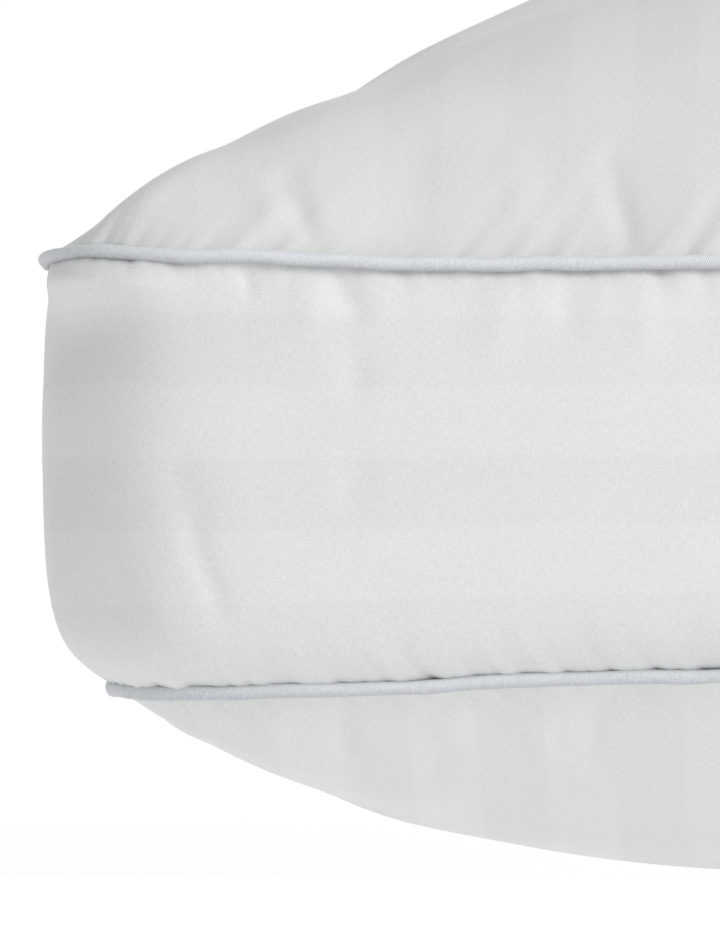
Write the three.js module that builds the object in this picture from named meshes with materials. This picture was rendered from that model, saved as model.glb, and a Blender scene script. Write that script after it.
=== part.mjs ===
// A gusseted bed pillow lying flat: two crowned cloth panels joined by an upright side band, with a
// wrapped piping cord sewn into each of the two seams and loose fibre inside.
// Millimetres. X runs along the pillow's length, Y along its depth and Z up. The origin is on the
// surface that the pillow rests on, under its middle.
import * as THREE from "three";
import { mergeVertices } from "three/addons/utils/BufferGeometryUtils.js";

// The pillow's outline and height.
const LENGTH = 660; // the upper seam's outline from corner to corner, along X
const DEPTH = 460; // the same along Y
const LOWER_INSET = 9; // the lower seam is drawn in this much all round from the upper one
const GUSSET = 60; // height of the side band between its two seams
const LOWER_CROWN = 29; // how far the bottom panel hangs below the lower seam
const UPPER_CROWN = 61; // how far the top panel rises above the upper seam
const CORNER_RADIUS = 18;
const SIDE_BOW = 6; // each side is drawn in this much halfway between its corners
const GUSSET_BULGE = 5; // the side band swells out this much at half its height
const UPPER_FLAT = 0.9; // the share of the way in at which the top panel levels out
const LOWER_FLAT = 0.6; // the same for the bottom panel's resting patch
const LOWER_TURN = 3.2; // how quickly the bottom panel turns under, where 1 is a straight slope

// Cloth, cord and thread.
const CLOTH = 0.6;
const CROWN_CLOTH = 0.8; // the panels' cloth, measured upright
const SEAM_ALLOWANCE = 10;
const NOTCH = 1.4; // a panel and its own allowance part company this far inside the seam line
const CORD_RADIUS = 1.05;
const WRAP_WALL = 0.45; // the satin yarn wound round the piping's core
const TAPE_WIDTH = 9;
const TAPE_THICKNESS = 0.4;
const THREAD_RADIUS = 0.15;
const STITCH_INSET = 3.2; // the seam's stitches lie this far inside the seam line

// Clearances, so that each piece is a solid of its own.
const GAP = 0.3;
const CORE_GAP = 0.12;
const JOIN_GAP = 0.6; // between the two ends of each piece that goes right round
const FILLING_GAP = 0.5;
const POCKET_IN = 1.5; // from the filling to the seam allowances' raw edges
const POCKET_UP = 3; // from a seam to the filling on its panel's side
const POCKET_DOWN = 4; // from a seam to the filling on the band's side

// Facets.
const LONG_SIDE_STEPS = 8;
const SHORT_SIDE_STEPS = 6;
const CORNER_STEPS = 4;
const CROWN_RINGS = 6;
const CROWN_CROWDING = 1.4; // above 1 sets a crown's rings closer together near the seam
const BULGE_STEPS = 4;
const LABEL_STEPS = 3;
const CORD_SIDES = 6;
const THREAD_SIDES = 4;

// Where the label and the visible stitches are.
const JOIN_SHARE = 0.8; // the pieces' ends meet this far along the back, towards +X
const LABEL_WIDTH = 36;
const LABEL_DROP = 46;
const LABEL_THICKNESS = 0.8;
const LABEL_X = 120;
const LABEL_CLEAR = 0.4; // covers the bow's change over the label's width
const CLOSING_LENGTH = 220;
const CLOSING_RISE = 3; // the closing stitches are this far above the lower seam

const LOWER_SEAM = LOWER_CROWN;
const UPPER_SEAM = LOWER_SEAM + GUSSET;
const HALF_RIDGE = (LENGTH - DEPTH) / 2; // half the ridge line that a crown rises to
const STACK = TAPE_THICKNESS / 2 + GAP; // from a seam's middle plane to the cloth on each side of it
const FOLD = 2 * STACK - GAP + CLOTH; // height of the fold between a panel and its seam allowance
const CORD_OUT = GAP + CORD_RADIUS; // from the seam line to the middle of the piping cord

const cloth = new THREE.MeshStandardMaterial({ color: 0xe4e6e5, roughness: 0.75, metalness: 0 });
const satin = new THREE.MeshStandardMaterial({ color: 0xd9dde3, roughness: 0.45, metalness: 0 });
const cotton = new THREE.MeshStandardMaterial({ color: 0xeceae4, roughness: 0.9, metalness: 0 });
const thread = new THREE.MeshStandardMaterial({ color: 0xe6e8ea, roughness: 0.6, metalness: 0 });
const fibre = new THREE.MeshStandardMaterial({ color: 0xf2f2f0, roughness: 1, metalness: 0 });
const label = new THREE.MeshStandardMaterial({ color: 0xefeff0, roughness: 0.6, metalness: 0 });

// ---- The seam lines in plan ------------------------------------------------------------------

// One station on the arc of corner k, counted anticlockwise from the corner at +X and +Y.
function cornerStation(k, turn, inset) {
  const angle = ((k + turn) * Math.PI) / 2;
  const normal = new THREE.Vector2(Math.cos(angle), Math.sin(angle));
  const sideX = k === 0 || k === 3 ? 1 : -1;
  const sideY = k < 2 ? 1 : -1;
  const at = new THREE.Vector2(
    sideX * (LENGTH / 2 - inset - CORNER_RADIUS),
    sideY * (DEPTH / 2 - inset - CORNER_RADIUS),
  );
  return { at: at.addScaledVector(normal, CORNER_RADIUS), normal };
}

// A seam line's rounded rectangle as stations, each a point and its outward direction,
// anticlockwise seen from above. Each side is drawn in at its middle.
function outline(inset) {
  const stations = [];
  for (let k = 0; k < 4; k++) {
    for (let i = 0; i <= CORNER_STEPS; i++) stations.push(cornerStation(k, i / CORNER_STEPS, inset));
    const { at, normal } = stations.at(-1);
    const next = cornerStation((k + 1) % 4, 0, inset).at;
    const steps = k % 2 === 0 ? LONG_SIDE_STEPS : SHORT_SIDE_STEPS;
    for (let i = 1; i < steps; i++) {
      const share = i / steps;
      const bow = SIDE_BOW * 4 * share * (1 - share);
      stations.push({ at: at.clone().lerp(next, share).addScaledVector(normal, -bow), normal });
    }
  }
  return stations;
}

// Stations that hold their point on both seam lines, starting on the back side at the join.
function seamStations() {
  const lower = outline(LOWER_INSET);
  const stations = outline(0).map(({ at, normal }, i) => ({ upper: at, lower: lower[i].at, normal }));
  const join = new THREE.Vector2((JOIN_SHARE - 0.5) * LENGTH, DEPTH / 2);
  const distances = stations.map(({ upper }) => upper.distanceTo(join));
  const start = distances.indexOf(Math.min(...distances));
  return [...stations.slice(start), ...stations.slice(0, start)];
}

const STATIONS = seamStations();

// A station moved sideways along the seams.
function moved({ upper, lower, normal }, distance) {
  const along = new THREE.Vector2(-normal.y, normal.x).multiplyScalar(distance);
  return { upper: upper.clone().add(along), lower: lower.clone().add(along), normal };
}

// The same stations from one side of the join round to the other, for a piece with two ends.
const ROUND = [
  moved(STATIONS[0], JOIN_GAP / 2),
  ...STATIONS.slice(1),
  moved(STATIONS[0], -JOIN_GAP / 2),
];

// The point of a station at a height, this far outward from the line between its two seams.
function pointAt({ upper, lower, normal }, out, up) {
  const share = THREE.MathUtils.clamp((up - LOWER_SEAM) / GUSSET, 0, 1);
  const at = lower.clone().lerp(upper, share).addScaledVector(normal, out);
  return new THREE.Vector3(at.x, at.y, up);
}

// ---- Solids ----------------------------------------------------------------------------------

// A closed geometry from points and triangles, turned so that its faces point out.
function solid(points, triangles) {
  const volume = triangles.reduce((sum, [a, b, c]) => {
    const normal = new THREE.Vector3().crossVectors(points[b], points[c]);
    return sum + points[a].dot(normal);
  }, 0);
  const facing = volume > 0 ? triangles : triangles.map(([a, b, c]) => [a, c, b]);
  const geometry = new THREE.BufferGeometry().setFromPoints(points);
  geometry.setIndex(facing.flat());
  return mergeVertices(geometry, 1e-4);
}

// Two triangles for each step round a pair of closed rings that start at point numbers a and b.
function between(a, b, count) {
  const triangles = [];
  for (let i = 0; i < count; i++) {
    const next = (i + 1) % count;
    triangles.push([a + i, a + next, b + next], [a + i, b + next, b + i]);
  }
  return triangles;
}

// A solid through closed rings of points, with a fan to the ring's middle at each end.
function loft(rings) {
  const count = rings[0].length;
  const points = rings.flat();
  const triangles = [];
  for (let k = 0; k + 1 < rings.length; k++) {
    triangles.push(...between(k * count, (k + 1) * count, count));
  }
  const fan = (ring, first, flip) => {
    const middle = ring.reduce((sum, p) => sum.add(p), new THREE.Vector3()).divideScalar(count);
    points.push(middle);
    for (let i = 0; i < count; i++) {
      const pair = [first + i, first + ((i + 1) % count)];
      triangles.push([points.length - 1, ...(flip ? pair.reverse() : pair)]);
    }
  };
  fan(rings[0], 0, true);
  fan(rings.at(-1), (rings.length - 1) * count, false);
  return solid(points, triangles);
}

// The points of one section, [distance outward, height] each, at every station of a run.
function skin(stations, section) {
  return stations.flatMap((station) => section.map(([out, up]) => pointAt(station, out, up)));
}

// A solid with the same section all along a run of stations.
function sweep(stations, section) {
  const contour = section.map(([out, up]) => new THREE.Vector2(out, up));
  const ends = THREE.ShapeUtils.triangulateShape(contour, []);
  const count = section.length;
  const triangles = [];
  for (let k = 0; k + 1 < stations.length; k++) {
    triangles.push(...between(k * count, (k + 1) * count, count));
  }
  const last = (stations.length - 1) * count;
  for (const [a, b, c] of ends) {
    triangles.push([c, b, a], [last + a, last + b, last + c]);
  }
  return solid(skin(stations, section), triangles);
}

// A tube along stations, open at both of its ends.
function hollowSweep(stations, outer, inner) {
  const count = outer.length;
  const inside = stations.length * count;
  const last = inside - count;
  const triangles = [...between(inside, 0, count), ...between(last, inside + last, count)];
  for (let a = 0; a < last; a += count) {
    const b = a + count;
    triangles.push(...between(a, b, count), ...between(inside + b, inside + a, count));
  }
  return solid([...skin(stations, outer), ...skin(stations, inner)], triangles);
}

// A round section, as a polygon.
function disc(out, up, radius, sides) {
  return Array.from({ length: sides }, (_, i) => {
    const angle = ((i + 0.5) / sides) * 2 * Math.PI;
    return [out + radius * Math.cos(angle), up + radius * Math.sin(angle)];
  });
}

// ---- The panels and the filling ----------------------------------------------------------------

// A ring at a fixed distance outward from the seam line.
function offsetRing(out, up) {
  return skin(STATIONS, [[out, up]]);
}

// A ring part of the way from the seam line to the ridge, which a crown rises to.
function crownRing(share, up) {
  return offsetRing(0, up).map(({ x, y, z }) => {
    const ridge = THREE.MathUtils.clamp(x, -HALF_RIDGE, HALF_RIDGE);
    return new THREE.Vector3(x + (ridge - x) * share, y * (1 - share), z);
  });
}

// The top panel is a shallow arch, flat in its middle.
function upperRise(share) {
  const half = DEPTH / 2;
  const radius = (half * half + UPPER_CROWN * UPPER_CROWN) / (2 * UPPER_CROWN);
  const away = half * (1 - Math.min(share / UPPER_FLAT, 1));
  return Math.sqrt(radius * radius - away * away) - (radius - UPPER_CROWN);
}

// The bottom panel turns under quickly and is flat where it rests.
function lowerDrop(share) {
  return LOWER_CROWN * (1 - (1 - Math.min(share / LOWER_FLAT, 1)) ** LOWER_TURN);
}

// Heights from a seam to its panel's outer face, where the crown starts at the fold.
function lifted(rise, crown) {
  return (share) => FOLD + (rise(share) / crown) * (crown - FOLD);
}

const upperLift = lifted(upperRise, UPPER_CROWN);
const lowerLift = lifted(lowerDrop, LOWER_CROWN);

// Shares of the way in at which a crown has its rings.
function crownShares(flat) {
  const step = (i) => ((i + 1) / CROWN_RINGS) ** CROWN_CROWDING;
  return Array.from({ length: CROWN_RINGS }, (_, i) => flat * step(i));
}

// One panel: its crown, the fold at the seam line and the allowance turned in under it.
// side is 1 for the top panel and -1 for the bottom one.
function panel(seam, side, flat, lift) {
  const up = (height) => seam + side * height;
  const shares = crownShares(flat);
  const outer = shares.map((share) => crownRing(share, up(lift(share)))).reverse();
  const inner = shares.map((share) => crownRing(share, up(lift(share) - CROWN_CLOTH)));
  return loft([
    ...outer,
    offsetRing(0, up(FOLD)),
    offsetRing(0, up(STACK)),
    offsetRing(-SEAM_ALLOWANCE, up(STACK)),
    offsetRing(-SEAM_ALLOWANCE, up(STACK + CLOTH)),
    offsetRing(-NOTCH, up(STACK + CLOTH)),
    ...inner,
  ]);
}

// The filling, clear of the cloth all round and of the seam allowances.
function filling() {
  const edge = -SEAM_ALLOWANCE - POCKET_IN;
  const inset = CROWN_CLOTH + FILLING_GAP;
  const clear = (share) => share * (DEPTH / 2) > SEAM_ALLOWANCE + POCKET_IN;
  const upper = crownShares(UPPER_FLAT).filter(clear);
  const lower = crownShares(LOWER_FLAT).filter(clear);
  const wall = bulge(POCKET_DOWN).map(([out, up]) => offsetRing(out - CLOTH - FILLING_GAP, up));
  return loft([
    ...upper.map((share) => crownRing(share, UPPER_SEAM + upperLift(share) - inset)).reverse(),
    offsetRing(edge, UPPER_SEAM + POCKET_UP),
    offsetRing(edge, UPPER_SEAM - POCKET_DOWN),
    ...wall.reverse(),
    offsetRing(edge, LOWER_SEAM + POCKET_DOWN),
    offsetRing(edge, LOWER_SEAM - POCKET_UP),
    ...lower.map((share) => crownRing(share, LOWER_SEAM - lowerLift(share) + inset)),
  ]);
}

// ---- The side band ------------------------------------------------------------------------------

// How far the band's outer face swells out at a height.
function bulgeAt(up) {
  return GUSSET_BULGE * Math.sin((Math.PI * (up - LOWER_SEAM)) / GUSSET);
}

// Points up the band's outer face, from this far above the lower seam to as far below the upper.
function bulge(short) {
  return Array.from({ length: BULGE_STEPS + 1 }, (_, i) => {
    const up = LOWER_SEAM + short + ((GUSSET - 2 * short) * i) / BULGE_STEPS;
    return [bulgeAt(up), up];
  });
}

// The band's section: its bulging wall, and an allowance turned in along each seam.
function bandSection() {
  const outer = bulge(STACK);
  const inner = bulge(STACK + CLOTH).map(([out, up]) => [out - CLOTH, up]);
  return [
    [-SEAM_ALLOWANCE, LOWER_SEAM + STACK],
    ...outer,
    [-SEAM_ALLOWANCE, UPPER_SEAM - STACK],
    [-SEAM_ALLOWANCE, UPPER_SEAM - STACK - CLOTH],
    ...inner.reverse(),
    [-SEAM_ALLOWANCE, LOWER_SEAM + STACK + CLOTH],
  ];
}

// The upright thread that joins the band's two ends, midway through the cloth.
function joinThread() {
  const points = bulge(STACK + CLOTH).map(([out, up]) => pointAt(STATIONS[0], out - CLOTH / 2, up));
  const corners = disc(0, 0, THREAD_RADIUS, CORD_SIDES).map(([x, y]) => new THREE.Vector2(x, y));
  const extrudePath = new THREE.CatmullRomCurve3(points);
  const steps = 4 * BULGE_STEPS;
  return new THREE.ExtrudeGeometry(new THREE.Shape(corners), { steps, extrudePath });
}

// ---- Trim -----------------------------------------------------------------------------------------

// The flat tape that carries the cord, held between a panel and the band.
function tapeSection(seam) {
  const half = TAPE_THICKNESS / 2;
  const edge = CORD_OUT - CORD_RADIUS - GAP / 2;
  return [
    [-TAPE_WIDTH, seam - half],
    [edge, seam - half],
    [edge, seam + half],
    [-TAPE_WIDTH, seam + half],
  ];
}

// The label hangs from the upper seam at the back and follows the band's swell.
function careLabel() {
  const top = UPPER_SEAM - CORD_RADIUS - GAP;
  const heights = Array.from({ length: LABEL_STEPS + 1 }, (_, i) => top - (LABEL_DROP * i) / LABEL_STEPS);
  const out = (up) => bulgeAt(up) + 2 * GAP;
  const section = [
    ...heights.map((up) => [out(up), up]),
    ...heights.reverse().map((up) => [out(up) + LABEL_THICKNESS, up]),
  ];
  const bow = SIDE_BOW * (1 - (LABEL_X / (LENGTH / 2 - CORNER_RADIUS)) ** 2);
  const middle = {
    upper: new THREE.Vector2(LABEL_X, DEPTH / 2 - bow + LABEL_CLEAR),
    lower: new THREE.Vector2(LABEL_X, DEPTH / 2 - bow + LABEL_CLEAR - LOWER_INSET),
    normal: new THREE.Vector2(0, 1),
  };
  return sweep([-0.5, 0, 0.5].map((share) => moved(middle, share * LABEL_WIDTH)), section);
}

// Visible stitches that closed the cover once it was filled, low on the +X end.
function closingThread() {
  const half = CLOSING_LENGTH / 2;
  const end = LENGTH / 2 - CORNER_RADIUS;
  const run = STATIONS.filter(({ upper }) => upper.x > end && Math.abs(upper.y) < half);
  const up = LOWER_SEAM + CLOSING_RISE;
  return sweep(run, disc(bulgeAt(up) + GAP + THREAD_RADIUS, up, THREAD_RADIUS, THREAD_SIDES));
}

// ---- The assembly -----------------------------------------------------------------------------------

const pillow = new THREE.Group();

function add(name, geometry, material) {
  const mesh = new THREE.Mesh(geometry, material);
  mesh.name = name;
  pillow.add(mesh);
}

// The piping and the lockstitch of one seam.
function addSeam(place, seam, side) {
  const ring = (radius) => disc(CORD_OUT, seam, radius, CORD_SIDES);
  const stitchUp = STACK + CLOTH + GAP / 2 + THREAD_RADIUS;
  const stitch = (up) => disc(-STITCH_INSET, up, THREAD_RADIUS, THREAD_SIDES);
  const hollow = CORD_RADIUS - WRAP_WALL;
  add(`${place}_piping_wrap`, hollowSweep(ROUND, ring(CORD_RADIUS), ring(hollow)), satin);
  add(`${place}_piping_core`, sweep(ROUND, ring(hollow - CORE_GAP)), cotton);
  add(`${place}_piping_tape`, sweep(ROUND, tapeSection(seam)), cotton);
  add(`${place}_seam_needle_thread`, sweep(ROUND, stitch(seam + side * stitchUp)), thread);
  add(`${place}_seam_bobbin_thread`, sweep(ROUND, stitch(seam - side * stitchUp)), thread);
}

add("top_panel", panel(UPPER_SEAM, 1, UPPER_FLAT, upperLift), cloth);
add("bottom_panel", panel(LOWER_SEAM, -1, LOWER_FLAT, lowerLift), cloth);
add("gusset_band", sweep(ROUND, bandSection()), cloth);
add("fibre_filling", filling(), fibre);
addSeam("top", UPPER_SEAM, 1);
addSeam("bottom", LOWER_SEAM, -1);
add("gusset_join_thread", joinThread(), thread);
add("closing_thread", closingThread(), thread);
add("care_label", careLabel(), label);

export default pillow;
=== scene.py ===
"""The looks of a gusseted bed pillow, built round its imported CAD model.

The cover is grown by a cloth simulation on a belt of stations that follow the seams, one station to a
stitch, and then refined near the seams. Lengths here are in millimetres until a mesh is made.
"""

import math

import bpy
import numpy as np
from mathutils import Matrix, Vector


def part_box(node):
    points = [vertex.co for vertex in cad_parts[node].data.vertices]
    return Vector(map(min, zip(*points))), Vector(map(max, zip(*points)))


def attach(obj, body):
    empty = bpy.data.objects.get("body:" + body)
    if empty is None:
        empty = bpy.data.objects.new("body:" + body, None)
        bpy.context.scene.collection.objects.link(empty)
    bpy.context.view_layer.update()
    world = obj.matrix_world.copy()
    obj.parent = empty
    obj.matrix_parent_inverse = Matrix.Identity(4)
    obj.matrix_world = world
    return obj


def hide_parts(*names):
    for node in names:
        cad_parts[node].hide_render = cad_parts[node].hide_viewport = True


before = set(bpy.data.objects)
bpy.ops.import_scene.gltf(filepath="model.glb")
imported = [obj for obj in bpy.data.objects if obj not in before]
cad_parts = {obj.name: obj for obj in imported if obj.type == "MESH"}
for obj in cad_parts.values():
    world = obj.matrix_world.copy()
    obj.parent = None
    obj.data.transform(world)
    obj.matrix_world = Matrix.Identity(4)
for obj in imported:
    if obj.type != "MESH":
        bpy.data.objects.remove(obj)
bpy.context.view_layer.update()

MM = 0.001


def box_mm(node):
    low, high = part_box(node)
    return np.array(low) / MM, np.array(high) / MM


# ---- Driving sizes, from the frame ----

CORD_RADIUS = 1.05
CORD_OUT = 1.35  # from a seam line out to the middle of its cord
TOP_CORD = box_mm("top_piping_wrap")
BOTTOM_CORD = box_mm("bottom_piping_wrap")
UPPER_HALF = TOP_CORD[1][:2] - CORD_OUT - CORD_RADIUS  # half the upper outline, along X and along Y
LOWER_HALF = BOTTOM_CORD[1][:2] - CORD_OUT - CORD_RADIUS
UPPER_SEAM = (TOP_CORD[0][2] + TOP_CORD[1][2]) / 2
LOWER_SEAM = (BOTTOM_CORD[0][2] + BOTTOM_CORD[1][2]) / 2
UPPER_CROWN = box_mm("top_panel")[1][2] - UPPER_SEAM
JOIN_X = (box_mm("gusset_join_thread")[0][0] + box_mm("gusset_join_thread")[1][0]) / 2

CORNER_RADIUS = 17
SIDE_BOW = 6
STITCH = 3.3

# ---- The seam lines ----

SAMPLES = 4  # outline samples to a millimetre


def smooth_closed(values, sigma):
    """Gaussian smoothing along a closed run of samples."""
    count = len(values)
    damp = np.exp(-2 * (math.pi * np.fft.rfftfreq(count) * sigma) ** 2)
    damp = damp.reshape(-1, *[1] * (values.ndim - 1))
    return np.fft.irfft(np.fft.rfft(values, axis=0) * damp, count, axis=0)


def dense_outline(half, like):
    """A rounded rectangle with its sides drawn in, anticlockwise from the corner at +X and +Y, with as
    many samples on each stretch as the outline like has at SAMPLES to a millimetre."""
    points = []
    arc_steps = round(CORNER_RADIUS * math.pi / 2 * SAMPLES)
    for k in range(4):
        sign = np.array([1 if k in (0, 3) else -1, 1 if k < 2 else -1])
        centre = sign * (half - CORNER_RADIUS)
        angle = (k + np.arange(arc_steps) / arc_steps) * math.pi / 2
        points.append(centre + CORNER_RADIUS * np.stack([np.cos(angle), np.sin(angle)], 1))
        normal = np.array([math.cos((k + 1) * math.pi / 2), math.sin((k + 1) * math.pi / 2)])
        start = centre + CORNER_RADIUS * normal
        turned = sign * [-1, 1] if k % 2 == 0 else sign * [1, -1]
        end = turned * (half - CORNER_RADIUS) + CORNER_RADIUS * normal
        length = np.abs((turned - sign) * (like - CORNER_RADIUS)).sum()
        share = np.arange(round(length * SAMPLES)) / round(length * SAMPLES)
        bow = SIDE_BOW * 4 * share * (1 - share)
        points.append(start + np.outer(share, end - start) - np.outer(bow, normal))
    return smooth_closed(np.concatenate(points), 5 * SAMPLES)


def seam_stations():
    """Stations at every stitch: the points of both seams, the outward direction, the distance along the
    seam to the nearest corner, and where along it each corner is. They start at the join in the back."""
    upper = dense_outline(UPPER_HALF, UPPER_HALF)
    lower = dense_outline(LOWER_HALF, UPPER_HALF)
    start = np.argmin(np.hypot(upper[:, 0] - JOIN_X, upper[:, 1] - UPPER_HALF[1]))
    upper, lower = np.roll(upper, -start, 0), np.roll(lower, -start, 0)
    steps = np.linalg.norm(np.roll(upper, -1, 0) - upper, axis=1)
    along = np.concatenate([[0], np.cumsum(steps)])
    count = round(along[-1] / STITCH)
    wanted = np.arange(count) * along[-1] / count

    def pick(values):
        closed = np.concatenate([values, values[:1]])
        return np.stack([np.interp(wanted, along, closed[:, c]) for c in range(values.shape[1])], 1)

    tangent = np.roll(upper, -1, 0) - np.roll(upper, 1, 0)
    tangent /= np.linalg.norm(tangent, axis=1, keepdims=True)
    normal = pick(np.stack([tangent[:, 1], -tangent[:, 0]], 1))
    normal /= np.linalg.norm(normal, axis=1, keepdims=True)
    corners = {(sx, sy): along[np.argmax(upper @ np.array([sx, sy]))] for sx in (1, -1) for sy in (1, -1)}
    gap = np.abs(wanted[:, None] - np.array(list(corners.values()))[None])
    distance = np.minimum(gap, along[-1] - gap).min(1)
    return pick(upper), pick(lower), normal, distance, corners


UPPER_XY, LOWER_XY, NORMAL, CORNER_GAP, CORNERS = seam_stations()
COUNT = len(UPPER_XY)

# ---- The cover's base shape ----

EAR_RISE = 2.2  # the upper seam turns up this much at its corners
EAR_REACH = 25
SAG = 3.0  # the lower seam dips this much at its corners
SAG_REACH = 60
LOWER_SEAM_LIFT = 1.2  # midway along its sides it is this far above the frame's
LOWER_TUCK = 2.6  # at its corners the lower seam is drawn in this much further
TUCK_REACH = 28
UPPER_TUCK = 2.6  # and the upper seam this much, over a shorter stretch
UPPER_TUCK_REACH = 12
EAR_SWELL = 5.6  # the side band's rounded corner under the upper seam
BAND_SWELL = 4.0  # the side band swells this much midway along a side
CORNER_SWELL = 1.2
SWELL_REACH = 40
TURN_UNDER = 14  # how sharply the side band turns in to the lower seam
TURN_SHARE = 0.88  # how much of the way in to the lower seam is in that turn
PINCH = 1.6  # how far the cloth is pinched in under the upper corners, and how far below the seam
PINCH_BELOW = 11
PINCH_HEIGHT = 6
PINCH_REACH = 20
EAR_BELOW = 3.5  # how far below the upper seam the rounded corner stands out most
RIDGE = UPPER_HALF[0] - UPPER_HALF[1]  # half the ridge line that the rings close on
# How far in from the ends and from the long sides a panel levels out, and how steeply it starts.
TOP_SETTLE = ((138, 1.54), (150, 2.8))
BOTTOM_SETTLE = ((115, 2.7), (70, 2.4))
HIP = 5  # how sharply the slopes from two sides meet

UPPER_Z = UPPER_SEAM - 0.3 + EAR_RISE * np.exp(-CORNER_GAP / EAR_REACH)
LOWER_Z = LOWER_SEAM + LOWER_SEAM_LIFT - SAG * np.exp(-((CORNER_GAP / SAG_REACH) ** 2))
UPPER_LINE = UPPER_XY - NORMAL * (UPPER_TUCK * np.exp(-((CORNER_GAP / UPPER_TUCK_REACH) ** 2)))[:, None]
LOWER_LINE = LOWER_XY - NORMAL * (LOWER_TUCK * np.exp(-((CORNER_GAP / TUCK_REACH) ** 2)))[:, None]
SWELL = BAND_SWELL + (CORNER_SWELL - BAND_SWELL) * np.exp(-((CORNER_GAP / SWELL_REACH) ** 2))


def settle(distance, level, turn):
    """A panel's rise as a share of its whole rise, at a distance in from one side."""
    return 1 - (1 - np.clip(distance / level, 0, 1)) ** turn


def side_distances(xy, half):
    """How far a point in plan is from the nearest end and from the nearest long side."""
    across = xy / half
    bow = SIDE_BOW * (1 - across[..., ::-1] ** 2)
    return np.maximum(half - bow - np.abs(xy), 0)


def crown_ring(share, seam_xy, seam_z, half, crown, settles):
    """One ring of a panel, this share of the way in from its seam to the ridge line."""
    ridge = np.stack([np.clip(seam_xy[:, 0], -RIDGE, RIDGE), np.zeros(len(seam_xy))], 1)
    xy = seam_xy + (ridge - seam_xy) * share
    reach = side_distances(xy, half)
    end_rise, side_rise = (np.maximum(settle(reach[:, axis], *settles[axis]), 1e-3) for axis in (0, 1))
    rise = (end_rise**-HIP + side_rise**-HIP - 1) ** (-1 / HIP)
    level = seam_z + (seam_z.mean() - seam_z) * min(share * 3, 1)
    return np.column_stack([xy, level + crown * rise])


def band_ring(share):
    """One ring of the side band, this share of the way up from the lower seam to the upper."""
    inward = TURN_SHARE * (1 - share) ** TURN_UNDER + (1 - TURN_SHARE) * (1 - share)
    swell = SWELL * math.sin(math.pi * share) ** 0.6 if 0 < share < 1 else 0 * SWELL
    below = (1 - share) * (UPPER_SEAM - LOWER_SEAM)
    pinch = PINCH * math.exp(-(((below - PINCH_BELOW) / PINCH_HEIGHT) ** 2))
    swell = swell - pinch * np.exp(-((CORNER_GAP / PINCH_REACH) ** 2))
    ear = math.exp(-(((below - EAR_BELOW) / EAR_BELOW) ** 2)) if 0 < share < 1 else 0
    swell = swell + EAR_SWELL * ear * np.exp(-((CORNER_GAP / UPPER_TUCK_REACH) ** 2))
    xy = UPPER_LINE + (LOWER_LINE - UPPER_LINE) * inward + NORMAL * swell[:, None]
    return np.column_stack([xy, LOWER_Z + (UPPER_Z - LOWER_Z) * share])


def top_ring(distance):
    share = distance / UPPER_HALF[1]
    return crown_ring(share, UPPER_LINE, UPPER_Z, UPPER_HALF, UPPER_CROWN, TOP_SETTLE)


def bottom_ring(distance):
    share = distance / LOWER_HALF[1]
    return crown_ring(share, LOWER_LINE, LOWER_Z, LOWER_HALF, -LOWER_Z.mean(), BOTTOM_SETTLE)


# ---- The cover's cloth simulation ----

# Rings are counted in from a seam; they stand further apart as they go in.
FIRST_STEP = 3.0
GROWTH = 1.06


def ring_distance(k):
    return FIRST_STEP * (GROWTH**k - 1) / (GROWTH - 1)


TOP_RINGS = 24
BAND_RINGS = 18
BOTTOM_RINGS = 20
SIM_FRAMES = 14
EVEN_ALONG = 1.3  # how far the simulated creases are evened out, in stations and in rings
EVEN_ACROSS = 2


def belt():
    """The rings of the simulated belt, from well inside the top panel, over the side band, to well
    inside the bottom panel, and how firmly the filling holds each."""
    rings, hold = [], []
    for k in range(TOP_RINGS, 0, -1):
        rings.append(top_ring(ring_distance(k)))
        hold.append(0.30 + 0.7 * max(0, k - 12) / (TOP_RINGS - 12))
    for i in range(BAND_RINGS + 1):
        rings.append(band_ring(1 - i / BAND_RINGS))
        hold.append(0.8 if i in (0, BAND_RINGS) else 0.33)
    for k in range(1, BOTTOM_RINGS + 1):
        rings.append(bottom_ring(ring_distance(k)))
        hold.append(0.30 + 0.7 * max(0, k - 10) / (BOTTOM_RINGS - 10))
    return np.array(rings), np.array(hold)


def quads(ring_count, count):
    """Faces of a belt of closed rings."""
    k, i = np.meshgrid(np.arange(ring_count - 1), np.arange(count), indexing="ij")
    nxt = (i + 1) % count
    faces = np.stack([k * count + i, k * count + nxt, (k + 1) * count + nxt, (k + 1) * count + i], -1)
    return faces.reshape(-1, 4)


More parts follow.
